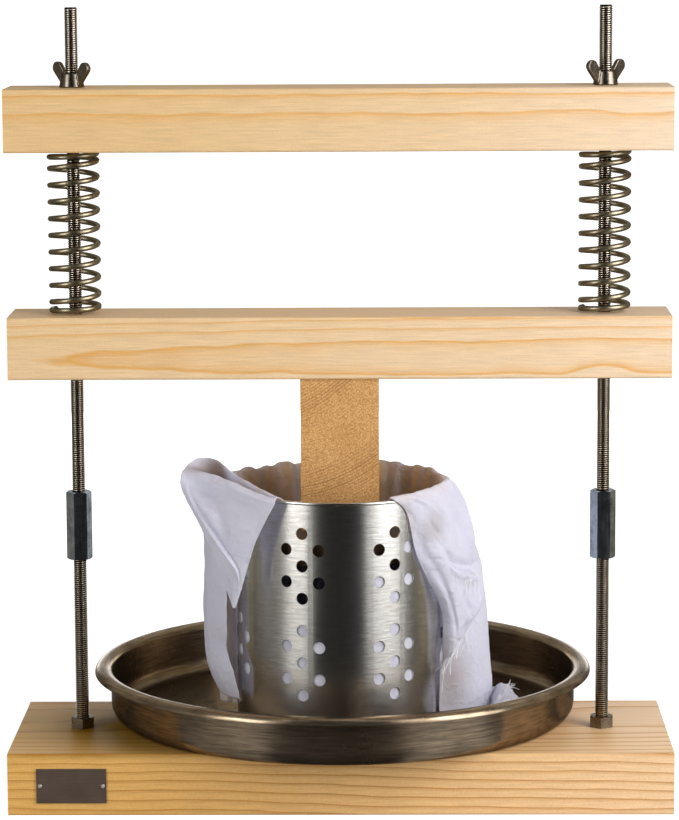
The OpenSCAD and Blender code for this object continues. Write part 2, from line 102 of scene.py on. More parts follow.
class Nodes:
    """A node tree, with one short call for each kind of node."""

    def __init__(self, tree):
        self.tree = tree
        self.tree.nodes.clear()

    def node(self, kind, **settings):
        """Adds a node of that kind and makes its settings."""
        node = self.tree.nodes.new("ShaderNode" + kind)
        for name, value in settings.items():
            setattr(node, name, value)
        return node

    def put(self, socket, value):
        """Links another node's output to a socket, or sets the socket to a constant."""
        if isinstance(value, bpy.types.NodeSocket):
            self.tree.links.new(value, socket)
        else:
            socket.default_value = value

    def fill(self, node, *values, **named):
        """Puts values into a node's first inputs, or into named ones; underscores stand for spaces."""
        for socket, value in zip(node.inputs, values):
            self.put(socket, value)
        for name, value in named.items():
            self.put(node.inputs[name.replace("_", " ")], value)

    def math(self, operation, *values):
        node = self.node("Math", operation=operation)
        self.fill(node, *values)
        return node.outputs[0]

    def vector(self, operation, *values):
        node = self.node("VectorMath", operation=operation)
        self.fill(node, *values)
        return node.outputs["Value" if operation == "LENGTH" else "Vector"]

    def distance(self, x, y):
        """Length of the way (x, y)."""
        return self.vector("LENGTH", self.join(x, y, 0))

    def split(self, vector):
        node = self.node("SeparateXYZ")
        self.fill(node, vector)
        return list(node.outputs)

    def join(self, x, y, z):
        node = self.node("CombineXYZ")
        self.fill(node, x, y, z)
        return node.outputs[0]

    def noise(self, vector, scale, detail=2.0, roughness=0.5):
        """Noise from 0 to 1 with a scale in waves per metre of the vector."""
        node = self.node("TexNoise")
        self.fill(node, Vector=vector, Scale=scale, Detail=detail, Roughness=roughness)
        return node.outputs["Fac"]

    def random(self, value):
        """One random number from 0 to 1 for each whole value."""
        node = self.node("TexWhiteNoise", noise_dimensions="1D")
        self.fill(node, W=value)
        return node.outputs["Value"]

    def ramp(self, value, stops, smooth=False):
        """A color that runs through the stops, each (place, color)."""
        node = self.node("ValToRGB")
        self.fill(node, value)
        if smooth:
            node.color_ramp.interpolation = "EASE"
        elements = node.color_ramp.elements
        while len(elements) < len(stops):
            elements.new(0.5)
        for element, (place, color) in zip(elements, stops):
            element.position = place
            element.color = color
        return node.outputs["Color"]

    def curve(self, value, stops, smooth=False):
        """A value that runs through the stops, each (place, level)."""
        return self.ramp(value, [(place, grey(level)) for place, level in stops], smooth)

    def spread(self, value, low=0.3, high=0.7):
        """0 up to low and 1 from high on."""
        return self.curve(value, [(low, 0), (high, 1)])

    def scaled(self, value, low, high):
        """Maps 0 to 1 onto low to high."""
        return self.math("MULTIPLY_ADD", value, high - low, low)

    def mix(self, share, a, b, blend="MIX"):
        """Runs from a to b as the share goes from 0 to 1."""
        node = self.node("Mix", data_type="RGBA", blend_type=blend, clamp_factor=True)
        self.fill(node, Factor=share, A=a, B=b)
        return node.outputs["Result"]

    def times(self, a, b):
        """The product of two colors."""
        return self.mix(1.0, a, b, "MULTIPLY")


class Graph(Nodes):
    """The nodes of a new material around one Principled shader."""

    def __init__(self, name):
        self.material = bpy.data.materials.new(name)
        self.material.use_nodes = True
        super().__init__(self.material.node_tree)
        self.output = self.node("OutputMaterial")
        self.shader = self.node("BsdfPrincipled")
        self.fill(self.output, Surface=self.shader.outputs["BSDF"])
        coordinates = self.node("TexCoord")
        self.place = coordinates.outputs["Object"]
        self.normal = coordinates.outputs["Normal"]

    def surface(self, **inputs):
        """Fills the shader's named inputs and returns the material."""
        self.fill(self.shader, **inputs)
        return self.material

    def streaks(self, scale, detail=2.0, roughness=0.5):
        """Noise with a scale for (x, y, z), in waves per metre."""
        return self.noise(self.vector("MULTIPLY", self.place, scale), 1.0, detail, roughness)

    def near(self, center, reach):
        """1 at the center, fading to 0 at a reach (x, y, z) from it."""
        away = self.vector("DIVIDE", self.vector("SUBTRACT", self.place, center), reach)
        return self.curve(self.vector("LENGTH", away), [(0, 1), (1, 0)], smooth=True)

    def bump(self, height, depth, normal=None):
        """Normal of a surface raised by depth where the height is 1."""
        node = self.node("Bump")
        self.fill(node, Strength=1.0, Distance=depth, Height=height)
        if normal is not None:
            self.fill(node, Normal=normal)
        return node.outputs["Normal"]


# ---- Wood ----

# Darkness through one ring, from its start to its end.
RING_PROFILE = [(0, 0), (0.55, 0.06), (0.82, 0.45), (0.93, 1), (1, 0)]
# Height of the rings' quick ripple, as a share of their width.
RIPPLE = 0.22
KNOT_REACH = (0.0294, 0.0333, 0.0091)
WOOD_GLOSS = 0.3
WARM = rgb(0.99, 0.95, 0.84)
# Dark olive of painted shade, multiplied into the wood where the tray shades the base board.
PAINTED_SHADE_OLIVE = rgb(0.34, 0.33, 0.13)

# The block's end grain: dark rings stand close together in bands.
BLOCK_RING = 0.0017
BAND_START = 0.016
BAND_WIDTH = 0.048
BAND_PROFILE = [(0, 1), (0.16, 0.3), (0.62, 0.22), (0.88, 1)]
RAYS_AROUND = 240


def growth(graph, radius, ring, weakest):
    """Darkness of the growth rings: each darkens slowly and ends at a sharp line, by a random
    strength from weakest to 1."""
    count = graph.math("DIVIDE", radius, ring)
    index = graph.math("FLOOR", count)
    line = graph.curve(graph.math("FRACT", count), RING_PROFILE)
    return graph.math("MULTIPLY", line, graph.scaled(graph.random(index), weakest, 1.0))


def pith_distance(graph, pith, drift, ring, wave):
    """Distance from a pith that runs along X through (y, z), and moves to the back by drift times x
    and x squared. A slow sway as high as wave and a quick ripple bend the rings."""
    x, y, z = graph.split(graph.place)
    sway = graph.scaled(graph.streaks((4, 16, 16), 3.0), -wave, wave)
    ripple = graph.scaled(graph.streaks((24, 60, 60)), -RIPPLE * ring, RIPPLE * ring)
    bend = graph.math("MULTIPLY", x, graph.math("MULTIPLY_ADD", x, drift[1], drift[0]))
    off_y = graph.math("SUBTRACT", y, graph.math("ADD", bend, pith[0]))
    off_z = graph.math("ADD", graph.math("SUBTRACT", z, pith[1]), sway)
    return graph.math("ADD", graph.distance(off_y, off_z), ripple)


def pine(name, pith, ring, weakest, wave, early, paler, late, drift=(0, 0), knot=None, painted_shade=None):
    """Planed pine whose early wood turns paler to the right, with lines of late wood. A knot
    (x, z, height) in the front face pushes them out around it, and inside a patch (center, reach)
    painted shade darkens and dulls the wood."""
    graph = Graph(name)
    radius = pith_distance(graph, pith, drift, ring, wave)
    if knot is not None:
        knot_x, knot_z, height = knot
        push = graph.near((knot_x, BEAM_FRONT, knot_z), KNOT_REACH)
        radius = graph.math("MULTIPLY_ADD", push, height, radius)
    rings = growth(graph, radius, ring, weakest)

    x = graph.split(graph.place)[0]
    right = graph.math("MULTIPLY_ADD", x, 0.5 / HALF_LENGTH, 0.5)
    early = graph.mix(graph.math("POWER", right, 1.6), early, paler)
    patched = graph.mix(graph.streaks((7, 22, 22)), early, graph.times(early, WARM))
    fibre = graph.spread(graph.streaks((45, 1000, 1000), 3.0, 0.6))
    speckle = graph.spread(graph.noise(graph.place, 1500, 2.0, 0.6))
    color = graph.mix(graph.math("MULTIPLY", rings, 0.95), patched, late)
    color = graph.times(color, graph.scaled(fibre, 0.90, 1.09))
    color = graph.times(color, graph.scaled(speckle, 0.93, 1.07))

    facing_x = graph.math("ABSOLUTE", graph.split(graph.normal)[0])
    sawn = graph.spread(facing_x, 0.6, 0.9)
    pores = graph.noise(graph.place, 1300, 3.0, 0.7)
    color = graph.mix(sawn, color, graph.times(color, graph.scaled(pores, 0.45, 1.0)))
    gloss = WOOD_GLOSS
    # Painted shade: inside the patch the wood is darkened to olive and loses its shine.
    if painted_shade is not None:
        in_painted_shade = graph.near(*painted_shade)
        color = graph.mix(in_painted_shade, color, graph.times(color, PAINTED_SHADE_OLIVE))
        gloss = graph.scaled(in_painted_shade, WOOD_GLOSS, 0.0)

    planed = graph.math("MULTIPLY_ADD", fibre, 0.5, graph.math("MULTIPLY", speckle, 0.4))
    torn = graph.math("MULTIPLY", sawn, pores)
    return graph.surface(
        Base_Color=color,
        Roughness=graph.scaled(fibre, 0.5, 0.7),
        Specular_IOR_Level=gloss,
        Normal=graph.bump(graph.math("MULTIPLY_ADD", torn, 2.0, planed), depth=0.0001),
    )


def end_grain(name, pith):
    """Sawn end grain whose rings run around a pith along Y through (x, z), crossed by fine rays."""
    graph = Graph(name)
    x, _, z = graph.split(graph.place)
    off_x = graph.math("SUBTRACT", x, pith[0])
    off_z = graph.math("SUBTRACT", z, pith[1])
    wobble = graph.scaled(graph.noise(graph.place, 45, 3.0), -0.0018, 0.0018)
    radius = graph.math("ADD", graph.distance(off_x, off_z), wobble)
    band = graph.math("DIVIDE", graph.math("SUBTRACT", radius, BAND_START), BAND_WIDTH)
    bands = graph.curve(graph.math("FRACT", band), BAND_PROFILE)
    rings = growth(graph, radius, BLOCK_RING, weakest=0.45)
    heading = graph.math("MULTIPLY", graph.math("ARCTAN2", off_z, off_x), RAYS_AROUND)
    rays = graph.noise(graph.join(heading, 0, 0), 1.0, 1.0)
    fuzz = graph.spread(graph.streaks((1000, 80, 1000), 4.0, 0.8))
    saw = graph.streaks((60, 60, 700))
    blotch = graph.noise(graph.place, 60, 3.0)

    color = graph.mix(fuzz, rgb(0.47, 0.185, 0.045), rgb(1.0, 0.66, 0.29))
    color = graph.mix(blotch, color, graph.times(color, rgb(0.84, 0.76, 0.66)))
    color = graph.mix(graph.math("MULTIPLY", rings, bands), color, rgb(0.15, 0.045, 0.01))
    color = graph.times(color, graph.scaled(rays, 0.8, 1.2))
    return graph.surface(
        Base_Color=color,
        Roughness=graph.scaled(fuzz, 0.7, 0.95),
        Specular_IOR_Level=0.2,
        Normal=graph.bump(graph.math("MULTIPLY_ADD", saw, 0.6, fuzz), depth=0.00025),
    )


# ---- Metals ----

# Shine at a grazing angle, as a share of a clean metal's.
DULL_EDGE = 0.3
CLEAN_EDGE = 1.0
# How fast brushed lines change on their way around the axis.
LINE_CHANGE = 7


def worn_steel(name, color, dark, roughness, grain, shade=None):
    """Plain steel with fine scratches, whose grain is in waves per metre for (x, y, z), and darker
    stains; shade(graph) may darken it further."""
    graph = Graph(name)
    stains = graph.spread(graph.noise(graph.place, 140, 4.0, 0.65), 0.35, 0.7)
    fine = graph.streaks(grain, 3.0, 0.6)
    shine = graph.mix(graph.math("MULTIPLY", stains, 0.7), color, dark)
    shine = graph.times(shine, graph.scaled(fine, 0.75, 1.2))
    if shade is not None:
        shine = graph.times(shine, shade(graph))
    return graph.surface(
        Base_Color=shine,
        Metallic=1.0,
        Specular_Tint=grey(DULL_EDGE),
        Roughness=graph.scaled(fine, roughness - 0.08, roughness + 0.12),
        Normal=graph.bump(fine, depth=0.00002),
    )


def thread_shade(graph):
    """Dark between the threads of the rods, full on their crests."""
    x, y, _ = graph.split(graph.place)
    off = graph.math("SUBTRACT", graph.math("ABSOLUTE", x), ROD_X)
    radius = graph.distance(off, y)
    return graph.curve(graph.math("DIVIDE", radius, ROD_R), [(0.87, 0.03), (0.97, 1)])


def spun_steel(name, color, dark, center, roughness, lines, contrast, metal, edge):
    """Stained stainless steel, brushed around an upright axis through the center. Lines counts the
    brushed lines to the metre and contrast is their strength; metal is below 1 where a dull film
    covers the steel, and edge is its shine at a grazing angle."""
    graph = Graph(name)
    x, y, z = graph.split(graph.vector("SUBTRACT", graph.place, (*center, 0)))
    flat = graph.join(x, y, 0)
    radius = graph.vector("LENGTH", flat)
    heading = graph.vector("NORMALIZE", flat)
    around = graph.vector("MULTIPLY", heading, (LINE_CHANGE, LINE_CHANGE, 0))
    outward = graph.join(0, 0, graph.math("MULTIPLY", graph.math("ADD", radius, z), lines))
    brushed = graph.spread(graph.noise(graph.vector("ADD", around, outward), 1.0, 4.0, 0.7))
    smear = graph.streaks((38, 38, 22), 4.0, 0.6)
    stains = graph.spread(smear, 0.4, 0.68)
    shine = graph.mix(graph.math("MULTIPLY", stains, 0.5), color, dark)
    shine = graph.times(shine, graph.scaled(brushed, 1.0 - contrast, 1.0 + contrast))
    return graph.surface(
        Base_Color=shine,
        Metallic=metal,
        Specular_Tint=grey(edge),
        Roughness=graph.scaled(smear, roughness - 0.06, roughness + 0.1),
        Anisotropic=0.45,
        Anisotropic_Rotation=0.25,
        Tangent=graph.node("Tangent", direction_type="RADIAL", axis="Z").outputs[0],
        Normal=graph.bump(brushed, depth=0.000005),
    )


def plate_metal():
    """Dark satin metal, brushed along the plate."""
    graph = Graph("plate_metal")
    lines = graph.streaks((60, 400, 5000), 3.0, 0.6)
    cloud = graph.noise(graph.place, 90, 3.0)
    color = graph.mix(cloud, rgb(0.12, 0.086, 0.065), rgb(0.19, 0.14, 0.11))
    return graph.surface(
        Base_Color=graph.times(color, graph.scaled(lines, 0.7, 1.3)),
        Metallic=0.7,
        Roughness=graph.scaled(lines, 0.32, 0.55),
        Normal=graph.bump(lines, depth=0.00002),
    )


# ---- Cotton ----

# Radians of the weave's wave to the metre: one thread every 0.45 mm.
WEAVE = 7000
# Share of the light that goes through the cloth's surface.
LIGHT_THROUGH = 0.4
# Heights in the mold where the brown of its mouth begins and is full.
BROWN_FROM = 0.156
BROWN_FULL = 0.160
SHADE_BROWN = rgb(0.46, 0.37, 0.34)
# Brown shade in the cloth's hollows: center, reach and strength.
HOLLOWS = [
    ((-0.072, -0.014, 0.190), (0.024, 0.010, 0.014), 1.2),
    ((0.062, -0.02, 0.070), (0.020, 0.03, 0.034), 0.6),
    ((0.053, -0.040, 0.163), (0.011, 0.02, 0.016), 0.4),
]


def weave_height(graph, uv):
    """Height of the plain weave, from 0 to 1."""
    waves = graph.vector("SINE", graph.vector("MULTIPLY", uv, (WEAVE, WEAVE, 0)))
    warp, weft, _ = graph.split(graph.vector("ABSOLUTE", waves))
    return graph.math("MAXIMUM", warp, weft)


def brownness(graph, browned):
    """How brown the cloth is: at least the given level, and more in the mold's mouth."""
    x, y, z = graph.split(graph.place)
    radius = graph.distance(x, y)
    inside = graph.curve(radius, [(MOLD_R - 0.0002, 1), (MOLD_R + 0.0022, 0)])
    mouth = graph.math("MULTIPLY", inside, graph.spread(z, BROWN_FROM, BROWN_FULL))
    return graph.math("MAXIMUM", graph.math("MULTIPLY", mouth, 0.85), browned)


def fold_shaded_brown(graph):
    """The brown, with painted fold shading: golden and mauve take turns from fold to fold around the
    mold.
    """
    x, y, _ = graph.split(graph.place)
    folds = graph.noise(graph.join(graph.math("ARCTAN2", y, x), 0, 0), 9.0, 2.0)
    return graph.mix(graph.spread(folds, 0.38, 0.6), rgb(0.98, 0.76, 0.46), rgb(0.90, 0.83, 0.82))


def hollow_shade(graph):
    """Strength of the brown shade in the hollows."""
    total = 0
    for center, reach, strength in HOLLOWS:
        spot = graph.math("MULTIPLY", graph.near(center, reach), strength)
        total = graph.math("MAXIMUM", spot, total)
    return total


def cotton(name, browned):
    """Thin plain-weave cotton with fine creases, that lets some light through."""
    graph = Graph(name)
    uv = graph.node("UVMap").outputs[0]
    slub = graph.noise(graph.vector("MULTIPLY", uv, (300, 2600, 1)), 1.0, 2.0)
    wrinkle = graph.noise(graph.place, 85, 4.0, 0.6)
    ridge = graph.math("ABSOLUTE", graph.math("SUBTRACT", graph.noise(graph.place, 60, 2.0), 0.5))
    crease = graph.curve(ridge, [(0, 1), (0.035, 0)])

    tone = graph.mix(wrinkle, rgb(0.86, 0.86, 0.97), rgb(0.93, 0.93, 1.0))
    # Painted fold shading: golden and mauve bands run through the brown of the mold's mouth.
    tone = graph.mix(brownness(graph, browned), tone, fold_shaded_brown(graph))
    tone = graph.mix(hollow_shade(graph), tone, SHADE_BROWN)
    tone = graph.times(tone, graph.scaled(slub, 0.94, 1.04))
    raised = graph.math("MULTIPLY_ADD", crease, 0.16, wrinkle)
    creased = graph.bump(raised, depth=0.0016)
    graph.fill(
        graph.shader,
        Base_Color=tone,
        Roughness=0.85,
        Specular_IOR_Level=0.15,
        Sheen_Weight=0.15,
        Normal=graph.bump(weave_height(graph, uv), depth=0.00006, normal=creased),
    )
    thin = graph.node("BsdfTranslucent")
    graph.fill(thin, Color=tone)
    both = graph.node("MixShader")
    graph.fill(both, LIGHT_THROUGH, graph.shader.outputs[0], thin.outputs[0])
    graph.fill(graph.output, Surface=both.outputs[0])
    return graph.material


def cotton_thread():
    """The bright loose threads of the frayed edges."""
    graph = Graph("cotton_thread")
    fuzz = graph.noise(graph.place, 2500, 2.0, 0.6)
    return graph.surface(
        Base_Color=graph.mix(fuzz, rgb(0.84, 0.84, 0.92), rgb(0.98, 0.98, 1.0)),
        Roughness=0.8,
        Specular_IOR_Level=0.2,
        Normal=graph.bump(fuzz, depth=0.00005),
    )


# ---- Meshes ----

ROD_SIDES = 28
# One turn of the thread: share of the pitch, and radius.
THREAD_PROFILE = [(0, THREAD_ROOT_R), (0.16, THREAD_ROOT_R), (0.54, ROD_R), (0.64, ROD_R)]


def new_object(name, data):
    """A new object in the scene."""
    piece = bpy.data.objects.new(name, data)
    bpy.context.scene.collection.objects.link(piece)
    return piece


def mesh_object(name, points, faces, material):
    mesh = bpy.data.meshes.new(name)
    mesh.from_pydata([tuple(p) for p in points], [], faces)
    mesh.validate()
    mesh.update()
    mesh.shade_smooth()
    mesh.materials.append(material)
    return new_object(name, mesh)


def tube_faces(first, rings, sides):
    """Faces of a tube whose points go around it ring by ring, from the first on."""
    faces = []
    for i in range(rings - 1):
        for k in range(sides):
            a = first + i * sides + k
            b = first + i * sides + (k + 1) % sides
            faces.append((a, b, b + sides, a + sides))
    return faces


def thread_faces(steps, count):
    """Faces of a thread of that many steps, with count points across its profile."""
    faces = []
    for i in range(steps):
        for k in range(count - 1):
            a = i * count + k
            faces.append((a, a + count, a + count + 1, a + 1))
        if i + ROD_SIDES < steps:
            a = i * count + count - 1
            b = (i + ROD_SIDES) * count
            faces.append((a, a + count, b + count, b))
    return faces


def threaded_rod(name, x, low, high, material):
    """A rod with a rolled right-handed thread, chamfered at both ends."""
    turns = int(math.ceil((high - low) / THREAD_PITCH)) + 2
    angle = np.arange(turns * ROD_SIDES + 1) * 2 * math.pi / ROD_SIDES
    lines = []
    for share, radius in THREAD_PROFILE:
        z = low + THREAD_PITCH * (angle / (2 * math.pi) + share - 1)
        end = np.minimum(z - low, high - z)
        r = np.minimum(radius, ROD_R - ROD_CHAMFER + np.maximum(end, 0))
        line = [x + r * np.cos(angle), r * np.sin(angle), np.clip(z, low, high)]
        lines.append(np.stack(line, axis=1))
    points = list(np.stack(lines, axis=1).reshape(-1, 3))
    faces = thread_faces(len(angle) - 1, len(THREAD_PROFILE))
    cap_r = ROD_R - ROD_CHAMFER
    for z, turn in ((low, -1), (high, 1)):
        start = len(points)
        ring = [turn * 2 * math.pi * k / ROD_SIDES for k in range(ROD_SIDES)]
        points.extend((x + cap_r * math.cos(a), cap_r * math.sin(a), z) for a in ring)
        faces.append(tuple(range(start, start + ROD_SIDES)))
    rod = mesh_object(name, points, faces, material)
    rod.data.set_sharp_from_angle(angle=0.5)
    return rod


def coil_heights(z0, z1, turns, count):
    """Turns and heights along a spring's wire: one close turn at each end, softly joined."""
    t = np.linspace(0, turns, count)
    z = np.interp(t, [0, 1, turns - 1, turns], [z0, z0 + END_RISE, z1 - END_RISE, z1])
    window = 19
    padded = np.pad(z, window // 2, mode="reflect", reflect_type="odd")
    return t, np.convolve(padded, np.ones(window) / window, "valid")


def spring(name, x, low, high, material):
    """An open compression spring with one close turn at each end."""
    rings = 40
    sides = 14
    z0 = low + SPRING_SEAT + WIRE_R
    z1 = high - SPRING_SEAT - WIRE_R
    turns = 2 + (z1 - z0 - 2 * END_RISE) / COIL_PITCH
    middle_r = SPRING_R - WIRE_R
    points = []
    for turn, height in zip(*coil_heights(z0, z1, turns, int(turns * rings))):
        a = SPRING_START + 2 * math.pi * turn
        for k in range(sides):
            b = 2 * math.pi * k / sides
            r = middle_r + WIRE_R * math.cos(b)
            points.append((x + r * math.cos(a), r * math.sin(a), height + WIRE_R * math.sin(b)))
    faces = tube_faces(0, len(points) // sides, sides)
    faces.append(tuple(range(sides)))
    faces.append(tuple(len(points) - 1 - k for k in range(sides)))
    return mesh_object(name, points, faces, material)


def arc(center, across, up, start, end, steps):
    """Points of an arc of an ellipse, in degrees from start to end."""
    angles = np.radians(np.linspace(start, end, steps))
    return np.stack([center[0] + across * np.cos(angles), center[1] + up * np.sin(angles)], axis=1)


def tray_outline():
    """Both sides of the tray's sheet as (radius, height): floor, rounded corner, wall and bead."""
    steps = 12
    corner = (TRAY_WALL_R - TRAY_CORNER, TRAY_BASE_Z + TRAY_CORNER)
    across, up = TRAY_BEAD
    bead = (TRAY_WALL_R + across, TRAY_RIM_Z - up)
    floor_r = np.linspace(0.0001, corner[0], steps, endpoint=False)
    line = np.concatenate(
        [
            np.stack([floor_r, np.full(steps, TRAY_BASE_Z)], axis=1),
            arc(corner, TRAY_CORNER, TRAY_CORNER, -90, 0, steps),
            arc(bead, across, up, 180, 0, 28),
        ]
    )
    along = np.gradient(line, axis=0)
    along /= np.linalg.norm(along, axis=1, keepdims=True)
    side = np.stack([-along[:, 1], along[:, 0]], axis=1) * SHEET_T / 2
    return np.concatenate([line + side, (line - side)[::-1]])


def spun_tray(name, material):
    """The tray as one spun sheet with a rolled bead for a rim."""
    steps = 256
    outline = tray_outline()
    count = len(outline)
    points, faces = [], []
    for k in range(steps):
        a = 2 * math.pi * k / steps
        points.extend((r * math.cos(a), TRAY_Y + r * math.sin(a), z) for r, z in outline)
    for k in range(steps):
        here = k * count
        there = (k + 1) % steps * count
        faces.extend((here + i, there + i, there + i + 1, here + i + 1) for i in range(count - 1))
    for i in (0, count - 1):
        faces.append(tuple(k * count + i for k in range(steps)))
    tray = mesh_object(name, points, faces, material)
    tray.data.set_sharp_from_angle(angle=0.7)
    return tray


def cast_copy(name, source, voxel, rounds, material):
    """A copy of a CAD node with its edges rounded as a casting's are."""
    piece = new_object(name, source.data.copy())
    piece.data.materials.clear()
    piece.data.materials.append(material)
    remesh = piece.modifiers.new("remesh", "REMESH")
    remesh.mode = "VOXEL"
    remesh.voxel_size = voxel
    remesh.use_smooth_shade = True
    soften = piece.modifiers.new("soften", "SMOOTH")
    soften.factor = 0.5
    soften.iterations = rounds
    return piece


# ---- Cloth ----

# Headings are angles round the mold in degrees, from the front to the right.

# Heading and height in millimetres of the lining's upper edge.
LINING_TOP = [
    (0, 118), (14, 138), (34, 138), (38, 158), (46, 158), (54, 172), (290, 172), (318, 113),
    (352, 113), (360, 118),
]
LINING_FLOOR = 0.0386
LINING_R = 0.0598

# Heading and reach in millimetres of the skirt from the mold, at mid height.
SKIRT_WAY = [
    (66, 0.4), (70, 3.2), (75, 8), (81, 13), (88, 19), (96, 24), (104, 22), (113, 26), (122, 17),
    (133, 27), (145, 18), (157, 28), (170, 17), (184, 26), (197, 18), (210, 29), (222, 20),
    (235, 27), (247, 20), (257, 24), (266, 21), (275, 16), (282, 11.5), (287, 8),
]
SKIRT_GAP = 0.0012
# Heights down the skirt, and there the share of its reach, at the right and at the left.
SKIRT_HEIGHTS = np.array([177, 163, 145, 131, 113, 98, 63, 43]) / 1000
RIGHT_SHARES = np.array([0.13, 0.42, 0.65, 0.82, 0.94, 1.0, 1.1, 1.16])
LEFT_SHARES = np.array([1.0, 0.86, 0.83, 0.83, 0.84, 0.86, 0.78, 0.45])

# Loose threads: radius, how deep they start in the cloth, and how they droop.
STRAND_R = 0.0003
STRAND_ROOT = 0.001
STRAND_DROOP = Vector((0, 0, -0.15))


def catmull(points, shares):
    """Smooth curve through the points, at the given shares of its way."""
    points = np.asarray(points, float)
    last = len(points) - 1
    place = np.clip(np.asarray(shares, float), 0, 1) * last
    index = np.minimum(place.astype(int), last - 1)
    t = (place - index).reshape((-1,) + (1,) * (points.ndim - 1))
    before = points[np.maximum(index - 1, 0)]
    here = points[index]
    after = points[index + 1]
    beyond = points[np.minimum(index + 2, last)]
    return 0.5 * (
        2 * here
        + (after - before) * t
        + (2 * before - 5 * here + 4 * after - beyond) * t**2
        + (3 * here - before - 3 * after + beyond) * t**3
    )


def net_surface(rows, down, across):
    """Smooth grid through a net of points given in millimetres, row by row."""
    net = np.asarray(rows, float) / 1000
    lengthwise = catmull(net, np.linspace(0, 1, down))
    turned = np.swapaxes(lengthwise, 0, 1)
    return np.swapaxes(catmull(turned, np.linspace(0, 1, across)), 0, 1)


def grid_normals(grid):
    down = np.gradient(grid, axis=0)
    across = np.gradient(grid, axis=1)
    normals = np.cross(across, down)
    return normals / np.maximum(np.linalg.norm(normals, axis=2, keepdims=True), 1e-12)


def pressed(grid, creases):
    """The grid with soft ridges or grooves: each is (start, end, width, height), placed by the shares
    across and down, with width as a share and height in millimetres."""
    rows, columns = grid.shape[:2]
    v, u = np.meshgrid(np.linspace(0, 1, rows), np.linspace(0, 1, columns), indexing="ij")
    lift = np.zeros((rows, columns))
    for (u0, v0), (u1, v1), width, height in creases:
        length2 = (u1 - u0) ** 2 + (v1 - v0) ** 2
        along = ((u - u0) * (u1 - u0) + (v - v0) * (v1 - v0)) / length2
        near = np.clip(along, 0, 1)
        off = np.hypot(u - u0 - near * (u1 - u0), v - v0 - near * (v1 - v0))
        fade = np.sin(math.pi * np.clip(0.1 + 0.8 * along, 0, 1))
        lift += height / 1000 * fade * np.exp(-((off / width) ** 2))
    return grid + grid_normals(grid) * lift[:, :, None]


def wrinkled(grid, size, height):
    """The grid with small random wrinkles of that size and height: soft waves and sharp creases."""
    lift = np.empty(grid.shape[:2])
    for i in range(grid.shape[0]):
        for j in range(grid.shape[1]):
            place = Vector(grid[i, j]) / size
            soft = noise.noise(place) + 0.4 * noise.noise(2.7 * place)
            sharp = 1 - 2 * abs(noise.noise(1.3 * place + Vector((5, 3, 1))))
            lift[i, j] = 0.7 * soft + 0.6 * max(sharp - 0.55, 0)
    return grid + grid_normals(grid) * (lift * height)[:, :, None]


def lining():
    """The cup of cloth inside the mold; at the front it ends lower, behind the upper holes."""
    angles = np.linspace(0, 2 * math.pi, 241)
    shares = np.linspace(0, 1, 90)
    headings, heights = np.array(LINING_TOP).T
    top = np.interp(np.degrees(angles), headings, heights) / 1000
    grid = np.empty((len(shares), len(angles), 3))
    for i, share in enumerate(shares):
        flat = min(share / 0.25, 1.0)
        rise = max(share - 0.22, 0.0) / 0.78
        folds = 0.0002 * rise * (1 + np.cos(9 * angles + 5 * rise))
        radius = LINING_R * max(flat, 0.02) - folds
        grid[i, :, 0] = radius * np.sin(angles)
        grid[i, :, 1] = -radius * np.cos(angles)
        grid[i, :, 2] = LINING_FLOOR + (top - LINING_FLOOR) * rise**1.15
    return grid


def crest_folds(heading):
    """How far the folds at the rim lean inwards, from 0 to 1."""
    waves = math.sin(heading * 0.21 + 0.4) + 0.7 * math.sin(heading * 0.47 + 1.9)
    return 0.5 + 0.5 * math.tanh(1.6 * waves)


def rim_course(heading):
    """The skirt's way up out of the mold and over its rim, as (radius, height)."""
    fold = crest_folds(heading) * np.interp(heading, [95, 140], [0.25, 1.0])
    rise = np.interp(heading, [66, 90, 120, 240, 262, 290], [1.2, 1.5, 5, 5, 5.5, 4]) / 1000
    lean = np.interp(heading, [66, 100, 220, 250, 290], [1.0, 1.5, 3, 6, 5]) / 1000
    top = rise * (0.62 + 0.42 * fold)
    inner = -1.5 - 2.7 * fold
    return [
        (MOLD_R + (inner - 0.2) / 1000, RIM_Z - 0.026),
        (MOLD_R + inner / 1000, RIM_Z - 0.014),
        (MOLD_R + inner / 1000, RIM_Z - 0.004),
        (MOLD_R - 0.001 - 0.0006 * fold + 0.1 * lean, RIM_Z + top * 0.7),
        (MOLD_R + lean * 0.6, RIM_Z + top),
        (MOLD_R + lean + SKIRT_GAP, RIM_Z + top * 0.55),
    ]


def hem_height(heading):
    """Height of the skirt's hem, which is ragged at the back."""
    hem = np.interp(heading, [66, 76, 100, 240, 255, 270, 290], [46, 43, 43, 43, 53, 58, 60]) / 1000
    ragged = 0.5 + 0.3 * np.sin(0.16 * heading) + 0.2 * np.sin(0.41 * heading + 1)
    return hem + 0.007 * ragged * np.interp(heading, [100, 125, 245, 262], [0, 1, 1, 0])


def hanging_course(heading, reach):
    """The skirt's way down outside the mold to its hem, as (radius, height)."""
    left = np.interp(heading, [195, 245], [0, 1])
    shares = RIGHT_SHARES * (1 - left) + LEFT_SHARES * left
    high, low = SKIRT_HEIGHTS[0], SKIRT_HEIGHTS[-1]
    hem = hem_height(heading)
    return [
        (MOLD_R + SKIRT_GAP + share * reach, hem + (height - low) / (high - low) * (high - hem))
        for height, share in zip(SKIRT_HEIGHTS, shares)
    ]


def end_slant(heading, heights):
    """Degrees by which the skirt's left and right ends turn off their heading at these heights."""
    left_end = np.interp(heading, [268, 287], [0, 1])
    right_end = np.interp(heading, [66, 86], [1, 0])
    left = np.interp(heights * 1000, [50, 64, 76, 88, 96, 125], [9, 10, 8, -4, 0, 0])
    right = np.interp(heights * 1000, [84, 102], [0, 9])
    return left * left_end + right * right_end


